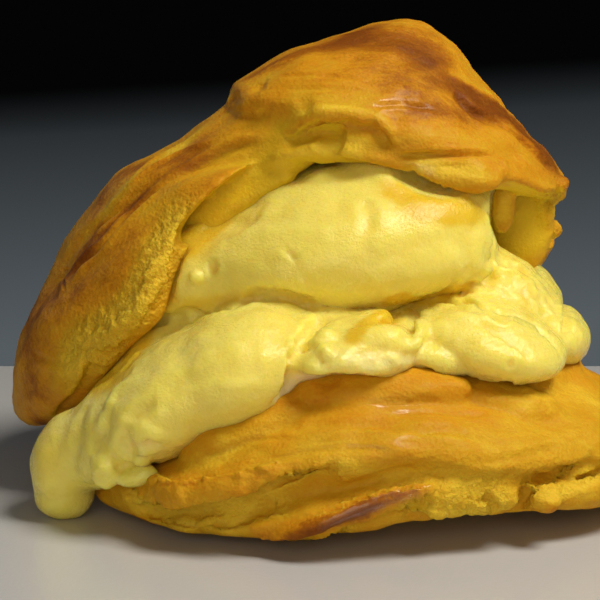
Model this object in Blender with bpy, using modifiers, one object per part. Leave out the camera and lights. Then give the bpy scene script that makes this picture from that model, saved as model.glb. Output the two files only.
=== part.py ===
"""A cream puff: a choux base shell and a choux lid with cream filling between them.

Metres, +Z up. The shells are spheres folded into cups: the upper rings of the
sphere make the outside, the middle rings the rounded rim, the rest the inside.
The cream is a group of ellipsoid dollops, remeshed into one body and cut back
by a small clearance from both shells.
"""

import math

import bmesh
import bpy
from mathutils import Euler, Matrix, Vector

MM = 0.001
NAME = "cream_puff"
CLEARANCE = 0.45

SEGMENTS = 168
RINGS = 92
OUTSIDE_SHARE = 0.56
RIM_SHARE = 0.12

LID_TRIANGLES = 3200
BASE_TRIANGLES = 3100
CREAM_TRIANGLES = 2300

# The lid, in its own frame: +X right, +Y back, +Z to the crown.
LID_CENTRE = (9.5, 5.5, 19.8)
LID_RIGHT_SIDE_UP = 27.5
LID_TIPPED_BACK = 28.5
LID_REACH_LEFT = 47.0
LID_REACH_RIGHT = 28.5
LID_REACH_FRONT = 31.5
LID_REACH_BACK = 30.0
LID_HEIGHT = 31.7
LID_LOW_HEIGHT = 20.0
LID_LEFT_POWER = 2.55
LID_RIGHT_POWER = 4.0
LID_WALL = 3.6
# The left end is rolled over: extra wall, at an azimuth, over a spread, near the rim.
LID_ROLL_WALL = 2.2
LID_ROLL = (-170.0, 32.0)
LID_ROLL_FROM = 0.6
# The rim: its polar angle, how far it is torn up in front, and local changes
# (azimuth, spread, degrees).
LID_RIM_ANGLE = 84.0
LID_TORN_RISE = 15.0
LID_TORN_LEFT = (-132.0, -112.0)
LID_TORN_RIGHT = (-52.0, -88.0)
LID_TORN_RIPPLE = 1.2
LID_TORN_RIPPLES = 11.0
LID_RIM_CHANGES = (
    (-82.0, 13.0, -2.6),
    (-155.0, 12.0, 2.5),
    (-48.0, 12.0, 2.0),
    (-28.0, 10.0, 2.5),
    (4.0, 20.0, -3.0),
    (135.0, 44.0, -23.0),
)

# The base, in its own frame: height 0 is the table.
BASE_CENTRE = (6.0, 0.0)
BASE_REACH_LEFT = 33.0
BASE_REACH_RIGHT = 37.0
BASE_REACH_FRONT = 36.0
BASE_REACH_BACK = 33.0
BASE_WALL = 4.2
BASE_FLOOR = 3.8
BASE_PATCH_SHARE = 0.30
# The wall's side view: height share of the widest place, then the span and the
# power of its curve above and below that.
BELLY_SHARE = 0.48
BELLY_ABOVE = (0.78, 2.2)
BELLY_BELOW = (0.54, 3.5)
# Folds start this share of the height above the underside.
FOLDS_FROM = 0.1
# Both shells: the power of the rounded plan, and where the rim's turn begins.
PLAN_POWER = 2.2
RIM_TURN_FROM = 0.97

# Swellings and hollows: azimuth, polar angle, spread in each (degrees), height (mm).
LID_FORMS = (
    (180.0, 84.0, 30.0, 12.0, 1.4),
    (-135.0, 76.0, 34.0, 8.0, 0.9),
    (-160.0, 62.0, 26.0, 12.0, -1.4),
    (142.0, 66.0, 34.0, 28.0, -3.2),
    (-33.0, 44.0, 20.0, 15.0, 1.8),
    (-64.0, 36.0, 22.0, 15.0, -0.9),
    (-5.0, 55.0, 36.0, 14.0, -1.9),
    (-6.0, 82.0, 20.0, 9.0, 0.9),
    (-52.0, 88.0, 14.0, 5.0, 0.8),
)
# Creases of the lid: first and last azimuth, polar angle at each, bow towards
# the crown, spread (degrees), depth (mm).
LID_CREASES = (
    (-156.0, -84.0, 69.0, 66.0, 8.0, 3.0, 1.5),
    (-70.0, -34.0, 79.0, 82.0, -3.0, 2.5, 0.9),
    (35.0, 150.0, 52.0, 44.0, -8.0, 4.0, 0.9),
)
# The cap: a second layer of crust over the right of the lid, ending in a lip.
CAP_LIP_ACROSS = -3.5
CAP_LIP_TURN = 22.5
CAP_LIP_SLANT = 1.05
CAP_LIP_WAVE = 1.0
CAP_LIP_WAVE_REACH = 6.0
CAP_STEP = 2.1
CAP_STEP_SPREAD = 1.5
# The step fades out this far to the left of the lip, and towards the back.
CAP_FADE_LEFT = (17.0, 7.0)
CAP_FADE_BACK = (16.0, 0.0)
# A crease's ends fade over these shares of its length.
CREASE_FADE = (-0.1, 0.12)

# Creases of the base: azimuths, share of the height at each, bow, spread, depth.
BASE_CREASES = (
    (-134.0, -78.0, 0.30, 0.55, 0.06, 0.075, 2.2),
    (-84.0, -40.0, 0.52, 0.46, 0.0, 0.06, 0.7),
    (-47.0, 10.0, 0.40, 0.55, 0.02, 0.08, 1.8),
    (24.0, 150.0, 0.50, 0.44, -0.04, 0.08, 1.1),
)
# Swellings of the base: azimuth, share of the height, spread in each, height (mm).
BASE_FORMS = (
    (-90.0, 0.72, 75.0, 0.20, 1.0),
    (-121.0, 0.56, 12.0, 0.16, 1.4),
    (-75.0, 0.20, 60.0, 0.14, 0.8),
    (-112.0, 0.06, 22.0, 0.18, 1.6),
    (-28.0, 0.22, 18.0, 0.20, 3.0),
    (-47.0, 0.26, 5.0, 0.20, -1.8),
)
# Rim heights of the base: azimuth, spread (degrees), height (mm) over the lowest.
BASE_RIM_LOW = 6.4
BASE_RIM_RISES = (
    (-88.0, 38.0, 10.2),
    (-18.0, 42.0, 8.6),
    (60.0, 48.0, 2.6),
)
# Where the underside is lifted off the table: azimuth, spread, height (mm).
BASE_LIFT = (-66.0, 30.0, 2.6)
BASE_LIFT_FROM = 0.65

# Dollops of cream: centre, half sizes (mm), turn about X, Y and Z (degrees).
DOLLOPS = (
    # in the lid
    ((4.0, -5.0, 32.3), (20.5, 17.5, 8.2), (8, -12, 0)),
    ((-11.0, -3.0, 27.3), (11.5, 13.8, 7.2), (0, -16, 0)),
    ((9.5, -5.0, 36.5), (9.5, 11.0, 6.4), (0, -10, 0)),
    ((18.6, -8.5, 31.0), (4.6, 9.0, 6.2), (0, -6, 0)),
    ((4.0, 6.0, 33.0), (20.0, 15.0, 9.0), (20, -20, 0)),
    # middle, mostly out of sight
    ((3.0, 3.0, 20.0), (25.0, 23.0, 8.5), (0, -8, 0)),
    ((6.0, 0.0, 11.0), (24.0, 22.0, 7.5), (0, 0, 0)),
    ((2.0, 7.0, 13.5), (27.0, 25.5, 4.5), (0, -4, 0)),
    ((20.0, 10.0, 21.0), (14.0, 15.0, 7.5), (0, 0, 0)),
    ((-17.0, -2.0, 15.5), (12.0, 15.0, 7.5), (0, -30, 0)),
    # lower left
    ((-7.4, -21.0, 18.1), (9.8, 11.0, 6.5), (0, -26, 0)),
    ((-14.0, -20.0, 15.0), (11.5, 10.8, 6.0), (0, -34, 0)),
    ((-20.5, -18.5, 10.6), (8.0, 8.0, 5.4), (0, -42, 0)),
    ((-27.4, -17.0, 6.2), (4.0, 5.4, 6.0), (0, 8, 0)),
    ((-21.2, -24.0, 8.6), (3.4, 3.2, 2.4), (0, 0, 0)),
    # lower middle, spread thin
    ((4.5, -23.5, 21.3), (9.5, 8.5, 2.8), (10, 0, 0)),
    ((9.4, -23.5, 22.6), (4.6, 6.0, 2.6), (0, -8, 0)),
    # right
    ((21.5, -18.5, 21.4), (9.4, 9.5, 3.7), (8, 16, 0)),
    ((24.4, -5.5, 24.6), (7.6, 10.0, 4.6), (0, 32, 0)),
    ((29.8, -7.5, 20.2), (5.4, 9.0, 3.8), (0, 20, 0)),
)
CREAM_VOXEL = 0.7


def smooth(low, high, value):
    """Return 0 to 1 as value runs from low to high, eased at both ends."""
    t = min(1.0, max(0.0, (value - low) / (high - low)))
    return t * t * (3.0 - 2.0 * t)


def turn_between(a, b):
    """Return the turn from b to a in degrees, within a half turn."""
    return (a - b + 180.0) % 360.0 - 180.0


def bell(distance, spread):
    return math.exp(-(distance / spread) ** 2)


def forms_at(forms, azimuth, level):
    """Sum the swellings and hollows of a shell at one place."""
    total = 0.0
    for centre, middle, wide, tall, height in forms:
        total += height * bell(turn_between(azimuth, centre), wide) * bell(level - middle, tall)
    return total


def reach(azimuth, left, right, front, back):
    """Return the plan radius of a rounded outline at an azimuth in degrees."""
    c = math.cos(math.radians(azimuth))
    s = math.sin(math.radians(azimuth))
    across = abs(c) / (right if c > 0 else left)
    along = abs(s) / (back if s > 0 else front)
    return (across ** PLAN_POWER + along ** PLAN_POWER) ** (-1.0 / PLAN_POWER)


def creases_at(creases, azimuth, level):
    """Sum the depths of the creases of a shell at one place."""
    total = 0.0
    for first, last, first_level, last_level, bow, spread, depth in creases:
        along = turn_between(azimuth, first) / turn_between(last, first)
        if -0.5 < along < 1.5:
            path = first_level + (last_level - first_level) * along - 4.0 * bow * along * (1.0 - along)
            ends = smooth(*CREASE_FADE, along) * smooth(*CREASE_FADE, 1.0 - along)
            total += depth * bell(level - path, spread) * ends
    return total


def cap_step(point):
    """How far a point of the lid lies under the cap: 0 on the cap, 1 below its lip."""
    lip = CAP_LIP_ACROSS + CAP_LIP_SLANT * max(0.0, CAP_LIP_TURN - point.z)
    lip += CAP_LIP_WAVE * math.sin(point.y / CAP_LIP_WAVE_REACH)
    below = smooth(lip + CAP_STEP_SPREAD, lip - CAP_STEP_SPREAD, point.x)
    reached = smooth(lip - CAP_FADE_LEFT[0], lip - CAP_FADE_LEFT[1], point.x)
    return below * reached * smooth(*CAP_FADE_BACK, point.y)


def lid_rim_angle(azimuth):
    """Polar angle at which the lid ends: torn high in front, low at the ends."""
    torn = smooth(*LID_TORN_LEFT, azimuth) * smooth(*LID_TORN_RIGHT, azimuth)
    angle = LID_RIM_ANGLE - LID_TORN_RISE * torn
    for centre, spread, change in LID_RIM_CHANGES:
        angle += change * bell(turn_between(azimuth, centre), spread)
    angle -= LID_TORN_RIPPLE * math.sin(math.radians(azimuth * LID_TORN_RIPPLES)) * torn
    return angle


def lid_smooth_radius(azimuth, polar):
    """Distance from the lid's centre to its surface with no folds on it."""
    side = smooth(-1.0, 1.0, math.cos(math.radians(azimuth)))
    power = LID_LEFT_POWER + (LID_RIGHT_POWER - LID_LEFT_POWER) * side
    plan = reach(azimuth, LID_REACH_LEFT, LID_REACH_RIGHT, LID_REACH_FRONT, LID_REACH_BACK)
    s = math.sin(math.radians(polar))
    c = math.cos(math.radians(polar))
    tall = LID_HEIGHT if c > 0 else LID_LOW_HEIGHT
    return ((s / plan) ** power + (abs(c) / tall) ** power) ** (-1.0 / power)


def lid_point(azimuth, polar, radius):
    a = math.radians(azimuth)
    p = math.radians(polar)
    return Vector((math.sin(p) * math.cos(a), math.sin(p) * math.sin(a), math.cos(p))) * radius


def lid_outside(azimuth, share):
    polar = lid_rim_angle(azimuth) * share
    radius = lid_smooth_radius(azimuth, polar)
    radius += forms_at(LID_FORMS, azimuth, polar)
    radius -= creases_at(LID_CREASES, azimuth, polar)
    radius -= CAP_STEP * cap_step(lid_point(azimuth, polar, radius))
    return lid_point(azimuth, polar, radius)


def lid_inside(azimuth, share):
    polar = lid_rim_angle(azimuth) * share
    rolled = bell(turn_between(azimuth, LID_ROLL[0]), LID_ROLL[1]) * smooth(LID_ROLL_FROM, 1.0, share)
    wall = LID_WALL + LID_ROLL_WALL * rolled
    return lid_point(azimuth, polar, lid_smooth_radius(azimuth, polar) - wall)


def base_rim_height(azimuth):
    height = BASE_RIM_LOW
    for centre, spread, rise in BASE_RIM_RISES:
        height += rise * bell(turn_between(azimuth, centre), spread)
    return height


def base_belly(share):
    """Plan size of the base at a share of its height, 1 at the widest."""
    away = abs(share - BELLY_SHARE)
    span, power = BELLY_ABOVE if share > BELLY_SHARE else BELLY_BELOW
    return (1.0 - (away / span) ** power) ** (1.0 / power)


def base_outside(azimuth, share):
    plan = reach(azimuth, BASE_REACH_LEFT, BASE_REACH_RIGHT, BASE_REACH_FRONT, BASE_REACH_BACK)
    level = max(0.0, (share - BASE_PATCH_SHARE) / (1.0 - BASE_PATCH_SHARE))
    radius = plan * base_belly(level)
    folds = forms_at(BASE_FORMS, azimuth, level) - creases_at(BASE_CREASES, azimuth, level)
    radius += folds * smooth(0.0, FOLDS_FROM, level)
    radius *= min(1.0, share / BASE_PATCH_SHARE)
    a = math.radians(azimuth)
    lift = BASE_LIFT[2] * bell(turn_between(azimuth, BASE_LIFT[0]), BASE_LIFT[1])
    height = base_rim_height(azimuth) * level
    lifted = smooth(BASE_LIFT_FROM * BASE_PATCH_SHARE, BASE_PATCH_SHARE, share)
    height += lift * lifted * (1.0 - level) ** 2
    return Vector((radius * math.cos(a), radius * math.sin(a), height))


def base_inside(azimuth, share):
    plan = reach(azimuth, BASE_REACH_LEFT, BASE_REACH_RIGHT, BASE_REACH_FRONT, BASE_REACH_BACK)
    level = max(0.0, (share - BASE_PATCH_SHARE) / (1.0 - BASE_PATCH_SHARE))
    radius = (plan * base_belly(level) - BASE_WALL) * min(1.0, share / BASE_PATCH_SHARE)
    a = math.radians(azimuth)
    height = BASE_FLOOR + (base_rim_height(azimuth) - BASE_FLOOR) * level
    return Vector((radius * math.cos(a), radius * math.sin(a), height))


def folded_point(outside, inside, azimuth, place):
    """Place one sphere vertex: place runs 0 to 1 from pole to pole."""
    if place <= OUTSIDE_SHARE:
        return outside(azimuth, place / OUTSIDE_SHARE)
    if place >= OUTSIDE_SHARE + RIM_SHARE:
        back = (1.0 - place) / (1.0 - OUTSIDE_SHARE - RIM_SHARE)
        return inside(azimuth, back)
    outer = outside(azimuth, 1.0)
    inner = inside(azimuth, 1.0)
    middle = (outer + inner) / 2.0
    half = (outer - inner) / 2.0
    onward = outer - outside(azimuth, RIM_TURN_FROM) + inner - inside(azimuth, RIM_TURN_FROM)
    onward -= half * (onward.dot(half) / half.dot(half))
    turn = math.pi * (place - OUTSIDE_SHARE) / RIM_SHARE
    return middle + half * math.cos(turn) + onward.normalized() * half.length * math.sin(turn)


def set_material(piece, colour, roughness, subsurface):
    material = bpy.data.materials.new(piece.name)
    material.use_nodes = True
    shader = material.node_tree.nodes["Principled BSDF"]
    shader.inputs["Base Color"].default_value = (*colour, 1.0)
    shader.inputs["Roughness"].default_value = roughness
    shader.inputs["Subsurface Weight"].default_value = subsurface
    shader.inputs["Subsurface Scale"].default_value = 0.004
    piece.data.materials.append(material)


def apply_modifiers(piece):
    bpy.ops.object.select_all(action="DESELECT")
    piece.select_set(True)
    bpy.context.view_layer.objects.active = piece
    for modifier in list(piece.modifiers):
        bpy.ops.object.modifier_apply(modifier=modifier.name)


def triangle_count(mesh):
    return sum(len(face.vertices) - 2 for face in mesh.polygons)


def thin_out(piece, triangles):
    """Keep about the given number of triangles, where the surface bends most."""
    decimate = piece.modifiers.new("Decimate", "DECIMATE")
    decimate.ratio = triangles / triangle_count(piece.data)
    apply_modifiers(piece)


def new_object(name, mesh, collection):
    piece = bpy.data.objects.new(name, mesh)
    collection.objects.link(piece)
    return piece


def make_shell(name, outside, inside, place, triangles, collection):
    """Fold a sphere into one shell, standing where the matrix puts it."""
    mesh = bpy.data.meshes.new(name)
    ball = bmesh.new()
    bmesh.ops.create_uvsphere(ball, u_segments=SEGMENTS, v_segments=RINGS, radius=1.0)
    for vertex in ball.verts:
        azimuth = math.degrees(math.atan2(vertex.co.y, vertex.co.x))
        polar = math.acos(min(1.0, max(-1.0, vertex.co.z)))
        vertex.co = place @ folded_point(outside, inside, azimuth, polar / math.pi) * MM
    bmesh.ops.triangulate(ball, faces=ball.faces)
    bmesh.ops.recalc_face_normals(ball, faces=ball.faces)
    ball.to_mesh(mesh)
    ball.free()
    piece = new_object(name, mesh, collection)
    thin_out(piece, triangles)
    return piece


def make_cream(collection):
    mesh = bpy.data.meshes.new("cream_filling")
    bag = bmesh.new()
    for centre, half, turn in DOLLOPS:
        spin = Euler([math.radians(angle) for angle in turn]).to_matrix().to_4x4()
        place = Matrix.Translation(Vector(centre) * MM) @ spin @ Matrix.Diagonal((*half, 1.0))
        bmesh.ops.create_icosphere(bag, subdivisions=4, radius=MM, matrix=place)
    bag.to_mesh(mesh)
    bag.free()
    piece = new_object("cream_filling", mesh, collection)
    remesh = piece.modifiers.new("Remesh", "REMESH")
    remesh.mode = "VOXEL"
    remesh.voxel_size = CREAM_VOXEL * MM
    soften = piece.modifiers.new("Soften", "SMOOTH")
    soften.factor = 0.5
    soften.iterations = 4
    apply_modifiers(piece)
    thin_out(piece, CREAM_TRIANGLES)
    return piece


def cut_back(piece, shell, cutters):
    """Take a shell, grown by the clearance, out of a piece."""
    cutter = new_object(shell.name + "_grown", shell.data.copy(), cutters)
    cutter.display_type = "WIRE"
    cutter.hide_render = True
    grow = cutter.modifiers.new("Grow", "DISPLACE")
    grow.mid_level = 0.0
    grow.strength = CLEARANCE * MM
    cut = piece.modifiers.new("Cut", "BOOLEAN")
    cut.operation = "DIFFERENCE"
    cut.solver = "EXACT"
    cut.object = cutter


def largest_island(mesh):
    """Keep only the biggest connected body of a mesh."""
    whole = bmesh.new()
    whole.from_mesh(mesh)
    bmesh.ops.remove_doubles(whole, verts=whole.verts, dist=0.0000005)
    left = set(whole.verts)
    islands = []
    while left:
        island = set()
        edge = [next(v for v in whole.verts if v in left)]
        while edge:
            vertex = edge.pop()
            if vertex in island:
                continue
            island.add(vertex)
            edge.extend(link.other_vert(vertex) for link in vertex.link_edges)
        islands.append(island)
        left -= island
    keep = max(islands, key=len)
    bmesh.ops.delete(whole, geom=[v for v in whole.verts if v not in keep], context="VERTS")
    bmesh.ops.triangulate(whole, faces=whole.faces)
    whole.to_mesh(mesh)
    whole.free()


def centre_on_table(pieces):
    """Put the middle of the whole at the origin, the lowest point at height 0."""
    corners = [vertex.co for piece in pieces for vertex in piece.data.vertices]
    low = Vector([min(corner[axis] for corner in corners) for axis in range(3)])
    high = Vector([max(corner[axis] for corner in corners) for axis in range(3)])
    shift = Matrix.Translation((-(low.x + high.x) / 2.0, -(low.y + high.y) / 2.0, -low.z))
    for piece in pieces:
        piece.data.transform(shift)


def main():
    for leftover in list(bpy.data.objects):
        bpy.data.objects.remove(leftover)
    collection = bpy.data.collections.new(NAME)
    cutters = bpy.data.collections.new("cutters")
    bpy.context.scene.collection.children.link(collection)
    bpy.context.scene.collection.children.link(cutters)

    tip = Euler((math.radians(-LID_TIPPED_BACK), 0.0, 0.0)).to_matrix().to_4x4()
    lean = Euler((0.0, math.radians(-LID_RIGHT_SIDE_UP), 0.0)).to_matrix().to_4x4()
    lid_place = Matrix.Translation(LID_CENTRE) @ lean @ tip
    base_place = Matrix.Translation((*BASE_CENTRE, 0.0))

    lid = make_shell("lid_shell", lid_outside, lid_inside, lid_place, LID_TRIANGLES, collection)
    base = make_shell("base_shell", base_outside, base_inside, base_place, BASE_TRIANGLES, collection)
    cream = make_cream(collection)
    for shell in (lid, base):
        cut_back(cream, shell, cutters)
        apply_modifiers(cream)
    largest_island(cream.data)
    for cutter in list(cutters.objects):
        bpy.data.objects.remove(cutter)
    centre_on_table((lid, base, cream))

    set_material(lid, (0.60, 0.28, 0.05), 0.38, 0.15)
    set_material(base, (0.62, 0.30, 0.06), 0.40, 0.15)
    set_material(cream, (0.90, 0.74, 0.22), 0.42, 0.30)


main()
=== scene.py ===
"""The looks of a cream puff: baked crust, thick cream, crumbs, and a small stage.

Lengths in the code are millimetres unless a property says otherwise; the meshes
and the stage are in metres. A mark on a piece is (from its left end, height above
the table), pressed straight back onto its front. A mark of three numbers is
(from the left end, from the front, height) and stays where it is.
"""

import math

import bmesh
import bpy
import numpy as np
from bpy.props import FloatProperty, FloatVectorProperty, IntProperty, PointerProperty
from mathutils import Matrix, Vector
from mathutils.bvhtree import BVHTree


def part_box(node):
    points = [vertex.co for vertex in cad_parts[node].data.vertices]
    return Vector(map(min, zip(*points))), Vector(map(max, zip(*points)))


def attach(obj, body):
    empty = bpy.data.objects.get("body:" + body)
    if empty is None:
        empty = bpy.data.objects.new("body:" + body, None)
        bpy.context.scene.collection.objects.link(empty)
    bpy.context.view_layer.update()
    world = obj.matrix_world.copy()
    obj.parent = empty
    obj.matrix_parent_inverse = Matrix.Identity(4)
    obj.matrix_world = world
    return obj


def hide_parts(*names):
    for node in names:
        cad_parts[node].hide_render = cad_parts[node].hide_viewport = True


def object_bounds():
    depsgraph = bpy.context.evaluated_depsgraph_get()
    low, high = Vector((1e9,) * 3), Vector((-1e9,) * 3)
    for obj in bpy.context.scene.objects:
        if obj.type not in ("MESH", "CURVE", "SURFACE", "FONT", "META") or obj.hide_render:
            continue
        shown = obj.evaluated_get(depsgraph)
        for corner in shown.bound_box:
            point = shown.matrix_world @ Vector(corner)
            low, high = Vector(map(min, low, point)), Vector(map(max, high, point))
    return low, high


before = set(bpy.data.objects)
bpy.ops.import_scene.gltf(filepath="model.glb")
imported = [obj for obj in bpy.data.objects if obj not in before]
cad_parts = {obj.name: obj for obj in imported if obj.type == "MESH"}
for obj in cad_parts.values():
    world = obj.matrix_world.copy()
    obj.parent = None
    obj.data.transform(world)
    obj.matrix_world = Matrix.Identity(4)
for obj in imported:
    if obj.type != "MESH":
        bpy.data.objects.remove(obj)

bl_info = {
    "name": "Cream Puff",
    "version": (1, 0, 0),
    "blender": (4, 5, 0),
    "location": "3D View > Sidebar > Cream Puff",
    "description": "Baked crust, cream and crumbs for a filled choux bun",
    "category": "Add Mesh",
}

MM = 0.001
CAD_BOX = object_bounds()
LID_LOW, LID_HIGH = (Vector(corner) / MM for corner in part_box("lid_shell"))
BASE_LOW, BASE_HIGH = (Vector(corner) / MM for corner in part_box("base_shell"))
CREAM_LOW = Vector(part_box("cream_filling")[0]) / MM

# The middle of each shell's hollow, as shares of its box.
LID_MIDDLE = LID_LOW + Vector((0.647, 0.409, 0.268)) * (LID_HIGH - LID_LOW)
BASE_MIDDLE = BASE_LOW + Vector((0.468, 0.525, 0.5)) * (BASE_HIGH - BASE_LOW)

# The lid leans: its folds run along this direction, up towards the right.
FOLD_LEAN = math.radians(27.5)

# How evenly the crust shines (0 is a mirror), and how brown it is before its marks.
CRUST_DULLNESS = 0.52
LID_TONE = 0.46
BASE_TONE = 0.36
# The back browns in soft patches between these distances from the front.
BACK_START, BACK_FULL = 16.0, 34.0

# The stage, in metres. The camera and the lights look at this spot on the piece.
AIM = Vector((CAD_BOX[0][0] + 0.0368, CAD_BOX[0][1] + 0.0364, 0.0228))
# Lights: place, width and colour. Their power is a setting.
LIGHTS = {
    "key": ((0.215, -0.13, 0.42), 0.18, (1.0, 0.94, 0.84)),
    "fill": ((-0.04, -0.46, 0.08), 0.34, (1.0, 0.90, 0.70)),
    "back": ((-0.30, 0.26, 0.22), 0.30, (0.95, 0.97, 1.0)),
}
TABLE_CLOUD = (0.62, 0.6, 0.58, 1.0)
SCREEN_DARK = (0.0012, 0.0012, 0.0012, 1.0)
BLACK = (0.0, 0.0, 0.0, 1.0)

# Each table below names the marks of one piece. Lumps are joined on before the
# skin is made: (from left, from front, height), half sizes, lean in degrees.
LID_LUMPS = {
    "torn knob": ((69.2, 25.7, 30.7), (1.25, 1.2, 1.25), 0),
    "knob stalk": ((67.9, 24.9, 31.7), (1.3, 1.1, 0.8), -28),
    "right tip": ((69.2, 18.9, 37.3), (1.2, 2.4, 1), 25),
    "right wall": ((64.4, 20.5, 32.2), (4.4, 1.7, 6.4), 0),
    "wall low": ((64.6, 22.5, 28.6), (3.2, 1.8, 2.2), 10),
    "inner flap": ((61.6, 13, 35.2), (1.6, 0.9, 3.6), -6),
    "right edge": ((67.2, 22, 34), (1.5, 3.4, 4.2), 12),
}
# Hollows are egg shapes cut out of a piece, in the same form.
LID_HOLLOWS = {
    "right side": ((74, 26.6, 29.8), (6.8, 12, 6.4), 0),
    "under the fold": ((32.2, 3, 38.4), (11.8, 8, 2.9), 33),
}
# Ropes are chains of flattened lumps laid along marks: marks, half width, half thickness.
# A mark of three numbers lies at its own distance from the front.
LID_ROPES = {
    "eyelid": (((50.5, 40.9), (54.3, 39.3), (57.4, 38.6), (59.4, 39.2)), 1, 0.55),
    "right hem": (((61, 39.2), (63.5, 38.6), (66, 37.4), (68, 37)), 0.8, 0.7),
    "cap lip": (((34.6, 44.3), (37, 46), (39.5, 46.9), (43.5, 47), (46.2, 46.2), (47.8, 43.6)), 0.7, 0.35),
    "ceiling": (((33, 7, 41.2), (36.8, 6.4, 42.2), (40.3, 6.2, 42.6), (43.8, 6.2, 42.6),
        (47.6, 6.6, 41.8)), 1.9, 1.5),
    "torn lip": (((12.9, 20.8), (16, 22.6), (18.6, 25.6), (20, 28.6), (21.4, 31.4), (22.6, 33.6)), 0.9,
        0.5),
    "inner wall": (((22.2, 9.8, 29.4), (25, 9.2, 33), (27.8, 8.6, 35.4), (31, 8.2, 37.8), (34.5, 7.8, 40),
        (38.5, 7.4, 41.8)), 2.4, 1.5),
    "inner wall high": (((22.4, 10.2, 32.4), (25.6, 9.6, 35.8), (28.8, 9.2, 38.6), (32, 8.8, 40.9),
        (35.6, 8.4, 42.3)), 2.6, 1.6),
    "crease fill": (((8.6, 27.4), (11.2, 30), (13.6, 32.4), (15.6, 34.4)), 1, 0.75),
}
# Steps: marks, drop, edge width, reach and overhang. The ground on the left hand
# of someone walking along the marks drops, and eases back over the reach.
LID_STEPS = {
    "cap lip": (((48.1, 42.6), (47.2, 44.2), (45.9, 45.6), (43.5, 46.2), (39.5, 46.1), (37, 45),
        (34.4, 43.7)), 0.7, 0.3, 2.4, 0.3),
    "cap left end": (((33.5, 47.2), (30.5, 46.9), (28.3, 47.3), (27.2, 48.4)), 0.3, 0.4, 1.6, 0.1),
    "torn edge": (((26, 37.6), (24, 35.8), (22.2, 33.2), (21.6, 30.6), (21.1, 27.6), (19.6, 25.4),
        (18.2, 23.2), (16.6, 21.3), (14.2, 20), (11.5, 18.4)), 0.8, 0.32, 4, 0.4),
    "roll edge": (((11.5, 18.4), (10.3, 14.4), (7.9, 11.8), (6.3, 9.3)), 1, 0.4, 3, 0.3),
    "eyelid edge": (((60.4, 38.9), (59.2, 38.6), (57.2, 37.9), (54.3, 38.6), (51.9, 39.7), (49.4, 40.6)),
        0.9, 0.3, 2, 0.5),
    "right fold": (((68, 39.4), (63, 43.8), (57.6, 47.2), (55.4, 49.4)), 0.6, 0.5, 2.6, 0.2),
}
# Grooves pressed in, or raised where the depth is under 0: marks, width, depth, shoulder.
LID_GROOVES = {
    "long crease": (((8, 25.8), (10.6, 28.8), (13.4, 31.2), (17, 35), (22.6, 39.2), (28.6, 42.4),
        (33.7, 43.7)), 0.55, 0.5, 0.3),
    "upper ridge": (((11.4, 31.2), (15, 35.4), (18.9, 39.9), (22.1, 41.6), (27.2, 43.4)), 0.4, -0.32, 0),
    "high ridge": (((12.4, 33.6), (16.2, 37.8), (20.4, 41.4), (26.4, 45)), 0.35, -0.26, 0),
    "end crack": (((7.4, 27.3), (8.2, 26.2), (8.9, 24.7)), 0.22, 0.3, 0.1),
    "end wrinkle": (((4.2, 17.5), (7.5, 17), (10.2, 17.8)), 0.4, 0.25, 0.1),
    "thin line": (((35.1, 52.9), (37.3, 53.7), (39.6, 54.2)), 0.24, -0.22, 0),
    "cap wrinkle low": (((34.5, 49.4), (39.2, 49.6), (45, 49.1)), 0.35, 0.16, 0.1),
    "cap wrinkle high": (((34, 50.7), (38, 51), (44.1, 50.5)), 0.3, 0.14, 0.1),
    "cap wrinkle right": (((45, 47.6), (49.5, 47.6), (54, 46.4)), 0.35, 0.18, 0.1),
    "eyelid crease": (((47.7, 41.9), (50.6, 42.1), (53.5, 42), (56.9, 41.9), (59.9, 41.4)), 0.4, 0.75,
        0.25),
    "flap fold": (((60.2, 41.2), (60.4, 39.3)), 0.45, -0.5, 0),
    "right ridge": (((54.6, 50.9), (58.1, 49.4), (61.5, 47)), 0.7, -0.4, 0),
    "right valley": (((55.5, 49.1), (57.3, 46.8), (61.5, 44.9), (66.2, 40.9)), 0.7, 0.35, 0.15),
    "tip wrinkle": (((67.3, 40.1), (68.5, 37.6)), 0.3, 0.25, 0.1),
}
LID_PITS = {
    "cap dimple": ((31.9, 49.8), 0.9, 0.4),
    "cap hollow": ((37.3, 47.7), 0.9, 0.4),
    "cap nick": ((28.6, 48.9), 0.35, 0.2),
    "underside bump left": ((38.2, 42.9), 0.4, -0.3),
    "underside bump": ((39.6, 42.1), 0.45, -0.3),
    "underside cut": ((46.3, 43.4), 0.35, 0.35),
}
# Where torn crumb shows: marks, width, amount.
LID_CRUMB = {
    "torn edge": (((9.6, 18.4), (12.8, 21.2), (16.2, 24.2), (18.8, 27.2), (20.4, 31), (21.9, 34.2),
        (23.6, 36.6)), 2.2, 1),
    "right edge": (((66, 37.2), (68.8, 34), (68.8, 29), (66.6, 25.2)), 2.2, 0.8),
    "lower roll": (((9, 18), (12.5, 21), (15.5, 24)), 2.4, 0.6),
    "torn lip": (((23.2, 31), (21.2, 25.8), (17.8, 21.8), (14, 17.6), (10, 14.2)), 1.3, 1),
}
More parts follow.
